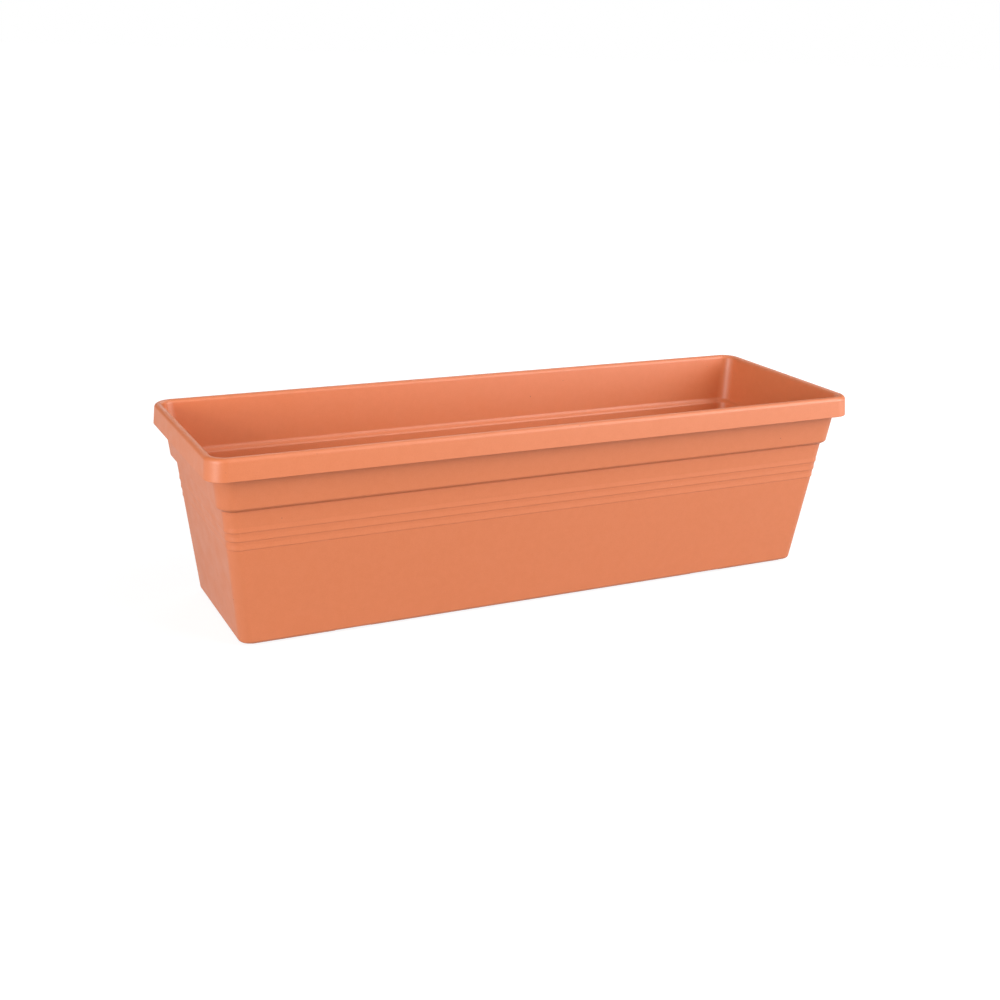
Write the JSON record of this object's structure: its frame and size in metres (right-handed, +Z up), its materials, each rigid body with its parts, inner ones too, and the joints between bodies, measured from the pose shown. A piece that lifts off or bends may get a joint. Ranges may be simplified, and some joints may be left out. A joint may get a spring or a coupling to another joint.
{
  "type": "window box planter",
  "caption": "Long tapered plastic window box with a folded rim, a stepped band, lapped ribs, and push-in plugs in its drain holes.",
  "frame": {"origin": "on the ground under the middle of the trough", "axes": "+X along the trough, +Y to its back, +Z up"},
  "size_m": [0.6, 0.1962, 0.1671],
  "materials": {
    "trough": "fine eggshell moulded texture, terracotta colour",
    "plug": "satin moulded plastic, terracotta colour"
  },
  "bodies": {
    "trough": {"trough_shell": "trough"},
    "plug_1": {"drain_plug_1": "plug"},
    "plug_2": {"drain_plug_2": "plug"},
    "plug_3": {"drain_plug_3": "plug"},
    "plug_4": {"drain_plug_4": "plug"}
  },
  "joints": [
    {"name": "plug_1_lift", "type": "slide", "parent": "trough", "child": "plug_1", "axis": [0, 0, 1], "range_m": [0, 0.175]},
    {"name": "plug_2_lift", "type": "slide", "parent": "trough", "child": "plug_2", "axis": [0, 0, 1], "range_m": [0, 0.175]},
    {"name": "plug_3_lift", "type": "slide", "parent": "trough", "child": "plug_3", "axis": [0, 0, 1], "range_m": [0, 0.175]},
    {"name": "plug_4_lift", "type": "slide", "parent": "trough", "child": "plug_4", "axis": [0, 0, 1], "range_m": [0, 0.175]}
  ]
}
